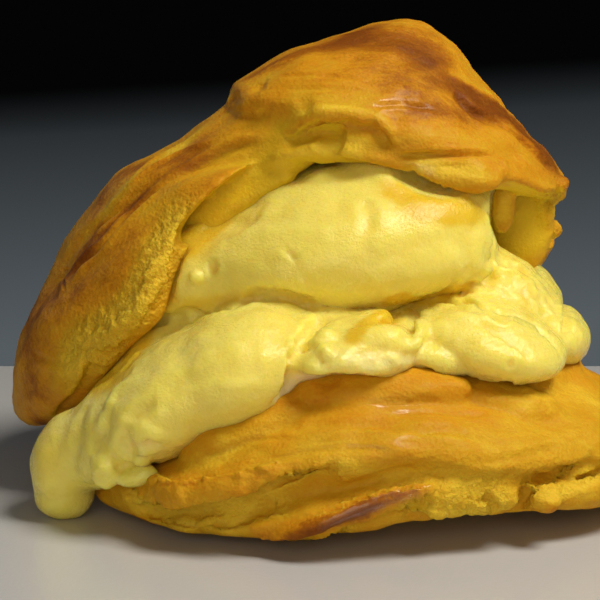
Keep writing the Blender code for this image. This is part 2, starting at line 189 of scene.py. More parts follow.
# Browning and paleness: marks, width, amount.
LID_BROWNING = {
    "crown": (((42, 55.4), (46, 55.2), (50, 54.4), (53, 51.5)), 4.2, 0.46),
    "crown low": (((46, 50.6), (50, 49.8)), 2.4, 0.16),
    "crown ridge": (((29, 49.4), (33.2, 52), (40.4, 54.4), (46, 57)), 1.5, 0.34),
    "right band": (((55.5, 50.1), (58.3, 47.8), (62.5, 45.4), (66.6, 41.4), (68.9, 38.2)), 2.6, 0.82),
    "right middle": (((48.5, 47.6), (53, 47), (57, 45.6)), 1.8, 0.28),
    "left outline": (((3, 24), (5, 28), (8.5, 33), (13.5, 38), (19, 42.4), (26, 46.2)), 1.9, 0.28),
    # crease end, long crease and under crease make the crust darker along the long crease and just below it.
    "crease end": (((8.6, 27), (11.2, 29.8), (13.8, 32.4), (16.2, 34.6), (19.5, 37.4)), 0.9, 0.5),
    "long crease": (((16.2, 34.2), (19.2, 37.6), (23.4, 40.2), (29, 42.3), (35, 43.8)), 0.9, 0.26),
    "under crease": (((16, 31), (20, 35), (25, 38.4), (31, 41.4)), 1.3, 0.18),
    "left end": (((2.2, 25), (3.4, 21), (4.6, 17.5)), 3.4, 0.26),
    "left end low": (((3.4, 15), (6, 12)), 2.2, 0.18),
    "left tip": (((4.8, 9.2), (6.4, 7.8)), 1, 0.5),
    "roll": (((9, 24.5), (12.5, 27.5), (15, 29)), 2.6, 0.16),
    # cap underside makes the crust darker just under the cap's lip.
    "cap underside": (((34.6, 43.6), (38, 45), (41.9, 45.5), (45, 44.9)), 0.7, 0.3),
}
LID_PALENESS = {
    "tan band": (((10.4, 31.2), (14.4, 35.9), (18.9, 40.2), (24.1, 43.4)), 0.9, 0.38),
    "roll edge": (((8, 16), (12, 19.4), (16.5, 23), (19.8, 27.6), (22, 32), (24.6, 35)), 2.2, 0.55),
    "under lid": (((27, 36), (30.5, 38.4), (34, 40.4), (40, 42.6), (45, 42.4)), 1.8, 0.5),
    "yellow band": (((48.6, 44), (55.4, 43.9), (61.2, 42.2)), 1.7, 0.1),
    "eyelid": (((49.8, 41.2), (54.5, 40.2), (58.5, 39.6)), 1.2, 0.52),
    "pale fold": (((54.8, 51.2), (58.1, 49.6), (61.5, 47.2)), 1, 0.36),
    "cap end": (((28.4, 48.6), (31, 50.4), (33.4, 51)), 0.9, 0.22),
    "cap lip edge": (((34, 44.9), (37, 46.7), (41.9, 47.4), (45.8, 46.8), (47.6, 44.2)), 0.7, 0.24),
    "cap middle": (((35, 48.4), (41, 48.6), (47, 48.2)), 1.6, 0.14),
    "flake": (((39.3, 47.4), (41.8, 47.5)), 0.5, 0.3),
    "lobe": (((20, 41), (24, 43.4), (29, 45.4)), 1.4, 0.16),
    "inner flap": (((61.6, 12.2, 38), (61.6, 12.2, 33)), 1.2, 0.4),
}
# Painted shade: where the crust inside the lid is coloured deep gold for the shade it lies in: marks, width,
# amount.
LID_SHADE = {
    "under the fold": (((22.5, 9.6, 30), (24.5, 9, 32.6), (28, 9, 36), (32, 9, 39), (36.5, 9, 41.2),
        (41, 8, 42.7)), 3.6, 1.5),
    "right wall": (((62.5, 19, 36), (64.5, 18.8, 32), (65, 19.5, 28)), 3.5, 1.4),
    "right rim": (((66.6, 22.4, 36), (67.4, 24, 31), (66, 25, 27.4)), 1.8, 0.6),
}
LID_GLOSS = {
    "crown": (((52.6, 53), (52, 50.4), (51.8, 48.4)), 1.6, 0.8),
    "cap lip": (((45, 48.6), (47.4, 48)), 1.6, 0.5),
    "eyelid": (((50, 40.8), (52, 40.4)), 0.9, 1),
}

BASE_LUMPS = {
    "flange tip": ((54.2, 6, 5.2), (1.8, 2.2, 1.3), 8),
    "rim left": ((21.5, 10.2, 12), (9, 5.2, 4), 24),
    "rim middle": ((36, 10.4, 16.6), (10.5, 4.6, 3.1), 2),
    "rim right": ((49, 14.4, 14.6), (9, 5.2, 3), -14),
}
BASE_HOLLOWS = {
    "under tongue": ((6.5, 6, 4), (4.4, 6, 1.6), 0),
    "gap": ((51.2, 3.4, 4.6), (1, 3.6, 2.6), -28),
    "flange groove": ((58, 6.6, 8.6), (7, 3, 0.55), 6),
}
BASE_ROPES = {
    "fold lip": (((9.2, 6.8), (12.8, 6.6), (16.2, 7.3), (21, 8.6), (26, 10.8)), 1.1, 0.9),
    "strip": (((23.4, 2.5), (27, 3.7), (30.2, 4.9), (33.5, 6.2), (37, 7.2), (40.6, 8)), 0.9, 1.4),
    "second layer": (((16, 2.8), (20, 4.6), (24, 6.4), (29, 8.6)), 0.8, 0.5),
    "flange": (((54.2, 6.8, 4.9), (57, 7.8, 5), (60, 9.6, 5.2), (63, 12.4, 5.6), (66, 16, 6.2)), 1.7, 1.5),
}
BASE_STEPS = {
    "fold edge": (((31.5, 11.3), (26, 9.8), (22.7, 8.4), (19.5, 7.3), (16.2, 6.4), (13, 5.6), (10.1, 5.4),
        (8.5, 6.2)), 2.1, 0.35, 4.6, 0.8),
    "strip edge": (((41.6, 7.6), (37.8, 6.3), (34.4, 5.2), (31.4, 3.9), (29.7, 3), (26, 1.9),
        (22.7, 1.2)), 1.4, 0.28, 3, 0.5),
    "second layer": (((29.5, 9.2), (24.5, 6.4), (19.4, 3.9), (15, 2)), 0.5, 0.4, 1.8, 0.2),
    "crumb edge": (((50, 3.8), (47, 4.2), (44, 4.4), (41, 5), (38, 5.2)), 1.4, 0.35, 3, 0.2),
    "flange top": (((52.2, 5.4), (52.6, 6.5), (54.2, 7), (57, 6.9), (60.5, 8.2)), 1, 0.4, 2.4, 0.3),
    "upper wrinkle": (((27, 13.6), (33.5, 14.2), (40, 13.4), (46, 13)), 0.3, 0.4, 1.8, 0.1),
}
BASE_GROOVES = {
    "under fold": (((9.4, 4.6), (12.8, 4.7), (16.2, 5.5), (21.7, 6.9), (26.5, 8.9), (30.4, 10.3)), 0.8,
        1.3, 0.1),
    "notch": (((46.9, 7), (47.8, 5.8), (48.5, 4.4)), 0.5, 0.9, 0.2),
    "wrinkle one": (((16, 9.8), (22, 12.2), (27.5, 13)), 0.35, 0.16, 0.08),
    "wrinkle two": (((24, 11), (31, 12.4), (38, 12)), 0.35, 0.2, 0.1),
    "wrinkle three": (((36, 15.4), (42, 15.2), (48, 14.4)), 0.4, 0.2, 0.1),
    "wrinkle four": (((44, 10.8), (50, 10.6), (56, 11)), 0.45, 0.2, 0.1),
    "foot crease": (((7, 3.4), (11, 2.6), (16, 2.4)), 0.5, 0.35, 0.1),
}
BASE_PITS = {
    "notch left": ((46.6, 6.2), 0.5, 0.6),
    "rim pocket": ((30.3, 18.4), 1.2, 0.6),
}
BASE_CRUMB = {
    "second layer": (((15.5, 3.2), (20, 5.4), (24.5, 7.2), (29.5, 9.6), (33, 9.8)), 1.2, 0.85),
    "under strip": (((24, 0.9), (30, 2.2), (35, 4.2), (39, 5.6)), 0.7, 0.9),
    "right crumb": (((37.5, 6.6), (42, 6.4), (46, 6.2), (50, 6.2)), 2, 1),
    "flange": (((53, 6), (57, 6.4), (61, 7.4)), 1.3, 0.7),
    "fold lip": (((9, 5.8), (13, 5.8), (18, 6.9)), 0.5, 0.3),
    "right face": (((39, 9), (45, 9.6), (51, 9.4), (57, 10.4)), 3, 0.34),
}
BASE_BROWNING_AND_SHADE = {
    "upper fold": (((12, 8), (16, 10.4), (22, 13.6), (29, 16.4), (38, 17.4), (46, 16.8)), 2.6, 0.12),
    "strip": (((22.8, 1.8), (27, 3), (30.2, 4.4), (33.5, 5.9), (37.7, 7.3), (41.5, 8)), 1.2, 0.66),
    "foot hem": (((8, 1.6), (12, 1.2), (17, 0.9), (23, 0.8)), 0.6, 0.9),
    # Painted shade: under fold and gap darken the recess under the tongue and the gap by the flange.
    "under fold": (((10, 4.4), (15, 4.8), (22, 6.6)), 0.9, 0.45),
    "gap": (((50.4, 5), (51.6, 7.4)), 0.9, 0.45),
    "flange patch": (((54.2, 4.9), (57.8, 4.9)), 0.8, 0.34),
}
BASE_PALENESS_AND_LIGHT = {
    "right side": (((46, 12.4), (52, 12), (60, 11.4)), 3.2, 0.08),
    "light ledge": (((30.2, 10.6), (34, 9.8), (37.8, 8.9), (44, 8.2), (49, 8)), 1.2, 0.26),
    "middle": (((20, 10.6), (27, 12.2), (35, 12)), 1.4, 0.12),
    "foot": (((7, 3.6), (11, 3), (15.8, 3.4), (20.7, 5.2), (26, 7.4)), 1.8, 0.4),
    "crumb": (((38.5, 6.2), (42, 5.6), (46, 5.4), (50, 5.4)), 1.5, 0.4),
    "flange": (((53.4, 5.4), (57, 6.2), (61, 7)), 1.4, 0.45),
    "right end": (((60, 14), (64, 12)), 3, 0.08),
    # Painted light: left shoulder lightens crust that lies in shade under the cream dollop.
    "left shoulder": (((18, 11), (22, 13), (27, 15)), 1.6, 0.2),
    "upper right": (((50, 15), (56, 15), (62, 14)), 3.2, 0.16),
    "tongue": (((8.6, 7.4), (12, 8.4), (16, 9.6), (20, 11.4)), 1.6, 0.22),
    # Painted light: base top lightens crust that lies in shade under the spread cream.
    "base top": (((30, 16.6), (36, 17.4), (42, 17.2)), 1.8, 0.1),
}
BASE_GLOSS = {
    "fold shine": (((28, 12.8), (32, 13.4), (37, 13.6)), 1.3, 0.9),
    "rim shine": (((35, 15.8), (39, 15.6)), 1, 0.7),
    "strip": (((30, 4.9), (33.5, 6.4), (37, 7.5), (40, 8.2)), 1, 1.4),
}

CREAM_LUMPS = {
    "dollop peak": ((26.8, 11.4, 24.4), (1, 1, 0.8), 0),
    "heel": ((3.8, 14.4, 2.6), (3.2, 4, 2.6), 0),
    "drip lump": ((9.9, 5.4, 8), (1.5, 1.6, 2.2), -10),
    "drip lump low": ((13.2, 4.9, 7.2), (2.2, 1.3, 1), 8),
    "drip bead": ((13.8, 4.2, 9.4), (0.8, 0.8, 0.6), 0),
    "pit bump": ((19.4, 15.2, 28.2), (0.6, 0.7, 0.45), 0),
    "crown top": ((37.2, 21.4, 37.8), (5.6, 3.4, 2.6), 0),
    "lobe foot": ((46.4, 7.4, 20.2), (4.4, 2.6, 1.5), -10),
    "crown chin": ((38.2, 17.6, 29.6), (13.4, 7.4, 5.5), 7),
    "spread band": ((40, 4.6, 22.4), (4.6, 2.2, 1.7), 0),
    "knot one": ((34.2, 4.4, 22.9), (1, 1, 0.9), 0),
    "knot two": ((33.5, 3.6, 21.5), (0.9, 1, 0.8), 0),
    "knot three": ((35.4, 3, 21.4), (1.1, 1, 0.9), 0),
    "crumb low one": ((36.4, 2.4, 20.3), (0.8, 0.8, 0.6), 0),
    "crumb low two": ((37.9, 2.6, 20.2), (0.8, 0.8, 0.5), 0),
    "crumb low three": ((35.2, 2.6, 20.6), (0.6, 0.8, 0.5), 0),
    "slot end": ((39.6, 10, 23.9), (2, 3.4, 0.9), 6),
}
CREAM_HOLLOWS = {
    "right of the crown": ((59.6, 21.6, 35), (6.2, 12.5, 6.8), 0),
    "left of the crown": ((23.8, 9.6, 36.4), (10.5, 13.5, 3.6), 38),
    "under the lid": ((10, 11, 22.4), (6.5, 12, 2), 42),
    "under the eyelid": ((46, 5, 39.6), (8.5, 16.5, 3.2), -18),
    "under the crown": ((46.6, 5, 25.2), (9.4, 14, 1.5), 14),
    "dollop hem": ((21.5, -0.6, 11.2), (9, 6.2, 1.9), 22),
    "spread hem": ((36, -0.4, 18.2), (8, 5.6, 1.9), 0),
}
CREAM_ROPES = {
    "left ridge": (((13.4, 18.1), (11.5, 16.8), (10.4, 15), (9.5, 12.9)), 0.6, 0.5),
    "lower ridge": (((12, 13.6), (14.4, 13.2), (16.6, 12.4)), 0.7, 0.5),
    "lobe edge": (((43.6, 22.4), (45.9, 23.6), (49.6, 24.3), (53.4, 23.7), (56.6, 22.8)), 0.7, 0.5),
}
CREAM_STEPS = {
    "crown right": (((53, 35.4), (53.3, 32.6), (53.2, 30.5), (53, 28.5), (51.8, 27.2)), 1, 0.3, 2.4, 0.3),
    "dollop top": (((12.1, 20.3), (16.9, 22), (22.9, 24.5), (26.7, 25.3), (31, 24.9), (33.5, 24.3)), 1,
        0.4, 2.6, 0.1),
    "dollop right": (((33.2, 24.3), (31.4, 23.4), (30.2, 22), (29.6, 20), (28.9, 18.3), (27.9, 16.2)), 1,
        0.3, 3, 0.4),
    "lump low": (((14.6, 7), (12.7, 6), (10.6, 5.8), (8.6, 6.3), (7.2, 5.4)), 0.9, 0.3, 2.4, 0.4),
    "lobe top": (((43.3, 21.6), (44.2, 23), (46.4, 24.2), (49.8, 24.8), (53.4, 24.2), (56.4, 23.4),
        (58.9, 21.6), (60.6, 19.2)), 0.9, 0.28, 2.2, 0.4),
    "lobe low": (((60.4, 16.6), (56, 17.4), (52.9, 17.9), (49.1, 18.8), (44, 20.4)), 0.8, 0.3, 2.4, 0.4),
    "back lobe split": (((62.6, 24.2), (61.9, 22.6), (62.1, 20.6)), 0.7, 0.3, 2, 0.2),
    "lobe facet": (((50.9, 23.6), (53.9, 22.2), (55.3, 21.2), (56.4, 19.6)), 0.35, 0.25, 2, 0.1),
    "dollop swipe": (((16, 16.4), (21, 18.6), (27.5, 19)), 0.2, 0.4, 2.4, 0),
}
CREAM_GROOVES = {
    "long groove": (((38.9, 37.1), (39.3, 35.2), (38.7, 33.2), (38.9, 30.6)), 0.8, 0.32, 0.08),
    "short crease": (((37.8, 29.6), (39.2, 28.8), (39.9, 28)), 0.3, 0.28, 0.1),
    "back groove": (((49.9, 25.4), (53, 24.2), (56.3, 23.4), (59, 21.3)), 0.45, 0.5, 0.15),
    "top swipe": (((21, 33.5), (28, 34.5), (36, 34.8)), 0.9, 0.12, 0.1),
    "left furrow": (((11.9, 12), (13.6, 14.6), (16, 16.4)), 0.7, 0.5, 0.15),
    "drip furrow": (((7.4, 14), (6.4, 10), (5.6, 6)), 1, 0.35, 0.1),
    "crown cut": (((29.4, 32), (30.3, 31.3), (31.3, 30.7)), 0.36, 1, 0.08),
    "crown low cut": (((31.6, 29.4), (32.4, 28.4), (33, 27.2)), 0.4, 0.7, 0.08),
}
CREAM_PITS = {
    "crown pit left": ((21.5, 29.2), 0.8, 1.1),
    "hole": ((31.4, 22.3), 0.7, 1.6),
    "hole low": ((33.9, 20.9), 0.8, 1),
    "drip hole": ((12.4, 11), 1.1, 1.1),
    "drip hole right": ((14.9, 11.6), 0.8, 0.7),
    "lobe pit": ((54.6, 20), 0.5, 0.8),
    "gap notch": ((50.6, 25.6), 0.8, 1.2),
    "dollop dent": ((11.3, 20.6), 0.8, 0.4),
}
# Painted shade: where the cream is coloured deep gold for the shade of the crust over it, with the painted
# shadow under the eyelid: marks, width, amount.
CREAM_SHADE = {
    "left of the crown": (((15.4, 26.6), (18.2, 30.6), (20.6, 33.8), (24.6, 36.8), (28.6, 39.4)), 2.5, 1.5),
    "crown foot": (((17, 25), (22, 25.6), (28, 26), (34, 25.2)), 1.3, 0.55),
    "gap": (((37.4, 23.2), (41, 24.4), (46, 25.6), (51, 26.8)), 1.2, 2),
    "under the lid": (((5.5, 16), (8, 20), (11, 23), (15, 25.4)), 2.2, 1.4),
    "drip": (((2.6, 4), (2.4, 9), (4.6, 13.6), (8, 18)), 3, 0.35),
    "beside the crown": (((54.6, 31), (55.6, 29.4), (57.6, 28.2), (60, 27.2)), 0.9, 0.5),
    "under the eyelid": (((41.6, 38.4), (44, 36.9), (47.8, 35.7), (51.8, 35.3)), 1.7, 1.6),
}
# Rough, torn cream: marks, width, amount.
CREAM_ROUGH = {
    "crumbs": (((31, 23.2), (33, 22), (36, 21.2), (41, 21.2), (43, 22.6)), 1.7, 1.3),
    "drip hole": (((9.4, 7.4), (12, 10.2), (15, 11.2)), 1.6, 1.1),
    "left end": (((12.8, 19.4), (11.5, 17), (9.6, 13.5), (8.6, 9)), 1.5, 0.9),
    "back lobe": (((53.5, 28), (58, 26.4), (62, 22)), 3.4, 1.1),
    "lobe": (((46, 22), (52, 21.6), (58, 19)), 2, 0.3),
    "beside the crown": (((50, 26.6), (54, 29), (58, 27.4)), 2, 0.9),
    "dollop": (((16, 20), (22, 22), (28, 22)), 3.2, 0.35),
}
CREAM_THIN = {
    "smear": (((29.2, 16.8), (31.2, 18.2), (33.8, 19.6)), 1.5, 1),
    "spread": (((35.5, 21), (40, 20.8), (44, 20.4)), 1.1, 0.5),
    "drip hole": (((12.6, 11.2), (15.2, 11.6)), 1, 0.35),
    "film": (((58, 17), (60.5, 14.5)), 1.2, 0.4),
}


# --- small maths

def smooth(low, high, value):
    """0 to 1 as value runs from low to high, eased at both ends."""
    share = np.clip((value - low) / (high - low), 0.0, 1.0)
    return share * share * (3.0 - 2.0 * share)


def bell(distance, spread):
    return np.exp(-(distance / spread) ** 2)


def fading(share, fade):
    """1 along a line of marks, easing to 0 at both ends."""
    return smooth(0.0, fade, share) * smooth(1.0, 1.0 - fade, share)


def corner_leans(cell, seed):
    """A fixed direction for every corner of the noise lattice."""
    mixed = cell @ np.array((73856093, 19349663, 83492791), dtype=np.int64) + seed * 7919
    mixed = (mixed ^ (mixed >> 13)) * 1274126177 & 0xFFFFFFFF
    mixed = (mixed ^ (mixed >> 15)) * 668265263 & 0xFFFFFFFF
    turn = (mixed & 0xFFFF) * (2.0 * math.pi / 65536.0)
    rise = (mixed >> 16) / 32768.0 - 1.0
    flat = np.sqrt(np.maximum(0.0, 1.0 - rise * rise))
    return np.stack((flat * np.cos(turn), flat * np.sin(turn), rise), axis=1)


def lump_noise(points, size, seed):
    """Smooth noise, about -1 to 1, with lumps of the given size."""
    place = points / size
    cell = np.floor(place).astype(np.int64)
    inside = place - cell
    ease = inside ** 3 * (inside * (inside * 6.0 - 15.0) + 10.0)
    total = np.zeros(len(points))
    for corner in np.ndindex(2, 2, 2):
        step = np.array(corner)
        weight = np.prod(np.where(step, ease, 1.0 - ease), axis=1)
        total += weight * np.sum(corner_leans(cell + step, seed) * (inside - step), axis=1)
    return 1.7 * total


def curved(marks, step):
    """Points every step along a smooth curve through the marks."""
    ends = [2.0 * marks[0] - marks[1], *marks, 2.0 * marks[-1] - marks[-2]]
    path = []
    for before, first, second, after in zip(ends, ends[1:], ends[2:], ends[3:]):
        count = max(1, round((second - first).length / step))
        for number in range(count):
            t = number / count
            swing = (second - before) * t + (2.0 * before - 5.0 * first + 4.0 * second - after) * t * t
            swing += (3.0 * first - before - 3.0 * second + after) * t ** 3
            path.append(first + 0.5 * swing)
    path.append(marks[-1])
    return path


# --- sculpting tools

class Front:
    """The front of a piece, and the marks made on it."""

    def __init__(self, piece, low):
        self.low = low
        self.tree = BVHTree.FromObject(piece, bpy.context.evaluated_depsgraph_get())

    def nearest(self, spot):
        found = self.tree.find_nearest(spot * MM)
        return found[0] / MM, found[1]

    def spot(self, mark):
        """A mark, from the left end and above the table, pressed straight back."""
        if len(mark) == 3:
            return Vector((mark[0] + self.low.x, mark[1] + self.low.y, mark[2]))
        start = Vector((mark[0] + self.low.x, self.low.y - 60.0, mark[1]))
        spot = self.tree.ray_cast(start * MM, Vector((0.0, 1.0, 0.0)))[0]
        if spot is None:
            start.y = self.low.y + 10.0
            return self.nearest(start)[0]
        return spot / MM

    def path(self, marks, step=0.8):
        """A smooth line through marks, lying on the front."""
        line = curved([self.spot(mark) for mark in marks], step)
        if len(marks[0]) == 3:
            return line
        return [self.nearest(point)[0] for point in line]


class Skin:
    """The points of one piece in millimetres, and the tools that press and pull them."""

    def __init__(self, piece, front):
        self.piece = piece
        self.front = front
        self.read()

    def read(self):
        mesh = self.piece.data
        self.points = np.empty(len(mesh.vertices) * 3)
        mesh.vertices.foreach_get("co", self.points)
        self.points = self.points.reshape(-1, 3) / MM
        self.normals = np.empty(len(mesh.vertices) * 3)
        mesh.vertex_normals.foreach_get("vector", self.normals)
        self.normals = self.normals.reshape(-1, 3)

    def write(self):
        self.piece.data.vertices.foreach_set("co", (self.points * MM).ravel())
        self.piece.data.update()

    def refresh(self):
        """Work the normals out again after the points have moved."""
        self.write()
        self.read()

    def push(self, amount):
        """Move every point out along its normal."""
        self.points += self.normals * np.asarray(amount)[:, None]

    def beside(self, marks, reach):
        """For the points near a line of marks: where they are seen from it."""
        line = np.array([tuple(point) for point in self.front.path(marks)])
        low = line.min(axis=0) - reach
        high = line.max(axis=0) + reach
        near = np.nonzero(np.all((self.points > low) & (self.points < high), axis=1))[0]
        spots = self.points[near]
        out = self.normals[near]
        distance = np.full(len(near), 1.0e9)
        share = np.zeros(len(near))
        left = np.zeros((len(near), 3))
        away = np.zeros((len(near), 3))
        for number, (first, second) in enumerate(zip(line, line[1:])):
            run = second - first
            length = max(1.0e-9, float(run @ run))
            along = np.clip((spots - first) @ run / length, 0.0, 1.0)
            gap = spots - first - along[:, None] * run
            size = np.linalg.norm(gap, axis=1)
            closer = size < distance
            distance = np.where(closer, size, distance)
            share = np.where(closer, (number + along) / (len(line) - 1), share)
            left = np.where(closer[:, None], np.cross(out, run / math.sqrt(length)), left)
            away = np.where(closer[:, None], gap, away)
        keep = distance < reach
        side = np.sum(left * away, axis=1)
        return near[keep], distance[keep], share[keep], side[keep], left[keep]

    def groove(self, marks, width, depth, shoulder=0.0, fade=0.14):
        """Press a groove along marks, with raised shoulders, fading out at both ends."""
        near, distance, share, _, _ = self.beside(marks, 4.0 * width)
        wander = 1.0 + 0.35 * lump_noise(self.points[near], 2.3, 5)
        profile = shoulder * bell(distance - 1.9 * width, width) - depth * bell(distance, width)
        self.points[near] += self.normals[near] * (profile * fading(share, fade) * wander)[:, None]

    def step(self, marks, drop, width, reach, overhang, ragged=0.35, fade=0.1):
        """Drop the ground on the left hand of a line and pull the edge over it."""
        near, distance, share, side, left = self.beside(marks, reach + 2.0 * width)
        spots = self.points[near]
        side = side + ragged * lump_noise(spots, 1.5, 17) + 0.5 * ragged * lump_noise(spots, 0.7, 18)
        low = smooth(-width, width, side) * smooth(reach, 0.35 * reach, distance)
        edge = bell(side + width, 1.6 * width) * smooth(reach, 0.35 * reach, distance)
        move = self.normals[near] * (0.25 * drop * edge - drop * low)[:, None]
        move += left * (overhang * edge)[:, None]
        self.points[near] += move * fading(share, fade)[:, None]

    def pit(self, mark, radius, depth):
        spot = np.array(self.front.spot(mark))
        distance = np.linalg.norm(self.points - spot, axis=1)
        distance = distance * (1.0 + 0.25 * lump_noise(self.points, 1.3 * radius, 9))
        profile = 0.2 * depth * bell(distance - 1.5 * radius, 0.5 * radius) - depth * bell(distance, radius)
        self.push(np.where(distance < 3.5 * radius, profile, 0.0))

    def stroke(self, marks, width):
        """1 on a line of marks, falling to 0 beside it, with a wandering edge."""
        near, distance, share, _, _ = self.beside(marks, 3.2 * width)
        wander = 1.0 + 0.35 * lump_noise(self.points[near], 1.2 + width, 11)
        ends = smooth(-0.04, 0.12, share) * smooth(1.04, 0.88, share)
        field = np.zeros(len(self.points))
        field[near] = bell(distance * wander, width) * (0.35 + 0.65 * ends)
        return field

    def strokes(self, table):
        total = np.zeros(len(self.points))
        for marks, width, amount in table.values():
            total += amount * self.stroke(marks, width)
        return total

    def keep_field(self, name, field):
        """Store a 0 to 1 field on the piece for its material."""
        layer = self.piece.data.attributes.new(name, "FLOAT", "POINT")
        layer.data.foreach_set("value", np.clip(field, 0.0, 1.0).astype(np.float32))


# --- modelling

def select_only(piece):
    bpy.ops.object.select_all(action="DESELECT")
    piece.select_set(True)
    bpy.context.view_layer.objects.active = piece


def apply_modifiers(piece):
    select_only(piece)
    for modifier in list(piece.modifiers):
        bpy.ops.object.modifier_apply(modifier=modifier.name)


def copy_of_node(node, name):
    """A loose copy of a solid's mesh, its doubles merged."""
    piece = bpy.data.objects.new(name, bpy.data.objects[node].data.copy())
    piece.data.name = name
    piece.data.materials.clear()
    bpy.context.scene.collection.objects.link(piece)
    select_only(piece)
    bpy.ops.object.mode_set(mode="EDIT")
    bpy.ops.mesh.select_all(action="SELECT")
    bpy.ops.mesh.remove_doubles(threshold=0.000001)
    bpy.ops.object.mode_set(mode="OBJECT")
    return piece


def round_lump(fineness):
    """The corners and faces of a ball of radius 1."""
    ball = bmesh.new()
    bmesh.ops.create_icosphere(ball, subdivisions=fineness, radius=1.0)
    corners = np.array([tuple(vertex.co) for vertex in ball.verts])
    faces = [[vertex.index for vertex in face.verts] for face in ball.faces]
    ball.free()
    return corners, faces


def lump_places(front, lumps, ropes):
    """Where each lump goes: its middle and its three half axes as the rows of a matrix."""
    for middle, half, lean in lumps.values():
        turn = Matrix.Rotation(math.radians(-lean), 3, "Y")
        yield front.spot(middle), np.diag(half) @ np.array(turn).T
    for marks, half_width, half_thickness in ropes.values():
        path = front.path(marks, 0.5 * half_width)
        for number, spot in enumerate(path):
            taper = math.sqrt(max(0.15, 1.0 - abs(2.0 * number / (len(path) - 1) - 1.0) ** 4))
            run = (path[min(number + 1, len(path) - 1)] - path[max(number - 1, 0)]).normalized()
            across = front.nearest(spot)[1].cross(run).normalized()
            out = run.cross(across)
            rows = (run * half_width, across * (half_width * taper), out * (half_thickness * taper))
            yield spot, np.array([tuple(row) for row in rows])


def add_lumps(piece, front, lumps, ropes):
    """Join small rounded lumps, and ropes of them, to a piece."""
    ball, ball_faces = round_lump(3)
    corners = []
    faces = []
    for middle, axes in lump_places(front, lumps, ropes):
        first = len(corners) * len(ball)
        corners.append((ball @ axes + np.array(middle)) * MM)
        faces.extend([first + corner for corner in face] for face in ball_faces)
    mesh = bpy.data.meshes.new("lumps")
    mesh.from_pydata(np.concatenate(corners).tolist(), [], faces)
    dough = bmesh.new()
    dough.from_mesh(piece.data)
    dough.from_mesh(mesh)
    dough.to_mesh(piece.data)
    dough.free()
    bpy.data.meshes.remove(mesh)


def cut_hollows(piece, low, hollows):
    """Cut egg-shaped hollows out of a piece."""
    for middle, half, lean in hollows.values():
        bpy.ops.mesh.primitive_ico_sphere_add(
            subdivisions=4, radius=1.0, location=(Vector((low.x, low.y, 0.0)) + Vector(middle)) * MM,
            rotation=(0.0, math.radians(-lean), 0.0))
        egg = bpy.context.object
        egg.scale = Vector(half) * MM
        cut = piece.modifiers.new("Hollow", "BOOLEAN")
        cut.operation = "DIFFERENCE"
        cut.solver = "MANIFOLD"
        cut.object = egg
        apply_modifiers(piece)
        bpy.data.meshes.remove(egg.data)


def make_skin(piece, grain, softening):
    """Give a piece one even skin of small faces."""
    remesh = piece.modifiers.new("Skin", "REMESH")
    remesh.mode = "VOXEL"
    remesh.voxel_size = grain
    soften = piece.modifiers.new("Soften", "SMOOTH")
    soften.factor = 0.5
    soften.iterations = softening
    apply_modifiers(piece)


def round_off(piece):
    rounder = piece.modifiers.new("Round", "SUBSURF")
    rounder.levels = 2
    rounder.render_levels = 2
    apply_modifiers(piece)


def thin_out(piece, triangles):
    """Keep the piece under a number of triangles, flat stretches first."""
    count = sum(len(face.vertices) - 2 for face in piece.data.polygons)
    if count > triangles:
        thin = piece.modifiers.new("Thin", "DECIMATE")
        thin.ratio = triangles / count
        apply_modifiers(piece)


def finish_piece(piece, material, node):
    piece.data.materials.clear()
    piece.data.materials.append(material)
    for face in piece.data.polygons:
        face.use_smooth = True
    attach(piece, "root")
    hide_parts(node)


def along_folds(points):
    """Points turned so that the lid's folds run along the first axis."""
    c, s = math.cos(FOLD_LEAN), math.sin(FOLD_LEAN)
    x, y, z = points.T
    return np.stack((x * c + z * s, y, z * c - x * s), axis=1)


def outwardness(skin, middle, flatten):
    """1 where the skin faces away from the middle of its shell, -1 on the inner side."""
    away = skin.points - np.array(middle)
    away[:, 2] *= flatten
    away /= np.linalg.norm(away, axis=1)[:, None]
    return np.sum(away * skin.normals, axis=1)


def press(skin, steps, grooves, pits):
    for marks, drop, width, reach, overhang in steps.values():
        skin.step(marks, drop, width, reach, overhang)
    skin.refresh()
    for marks, width, depth, shoulder in grooves.values():
        skin.groove(marks, width, depth, shoulder)
    for mark, radius, depth in pits.values():
        skin.pit(mark, radius, depth)
    skin.refresh()


def crumble(skin, crumb, seed):
    """Roughen torn crumb into small knots and holes."""
    knots = 0.24 * lump_noise(skin.points, 1.0, seed) + 0.20 * lump_noise(skin.points, 0.55, seed + 1)
    holes = smooth(0.25, 0.65, lump_noise(skin.points, 0.8, seed + 2))
    skin.push(crumb * (knots - 0.3 * holes))


def shape_lid(skin):
    """Folds, wrinkles and torn edges of the lid."""
    long_lumps = along_folds(skin.points) * np.array((0.32, 0.8, 1.0))
    outer = smooth(-0.1, 0.5, outwardness(skin, LID_MIDDLE, 1.0))
    relief = 0.26 * lump_noise(long_lumps, 3.6, 1) + 0.16 * lump_noise(long_lumps, 1.5, 2)
    relief += 0.05 * lump_noise(long_lumps, 0.7, 6)
    relief += 0.35 * lump_noise(skin.points, 9.0, 3)
    skin.push(outer * relief)
    press(skin, LID_STEPS, LID_GROOVES, LID_PITS)
    crumble(skin, lid_crumb(skin), 4)


def lid_crumb(skin):
    inner = smooth(0.25, -0.25, outwardness(skin, LID_MIDDLE, 1.0) + 0.25 * lump_noise(skin.points, 1.8, 8))
    inner *= smooth(5.0, 12.0, skin.points[:, 1] - LID_LOW.y)
    return np.clip(0.4 * inner + skin.strokes(LID_CRUMB), 0.0, 1.0)


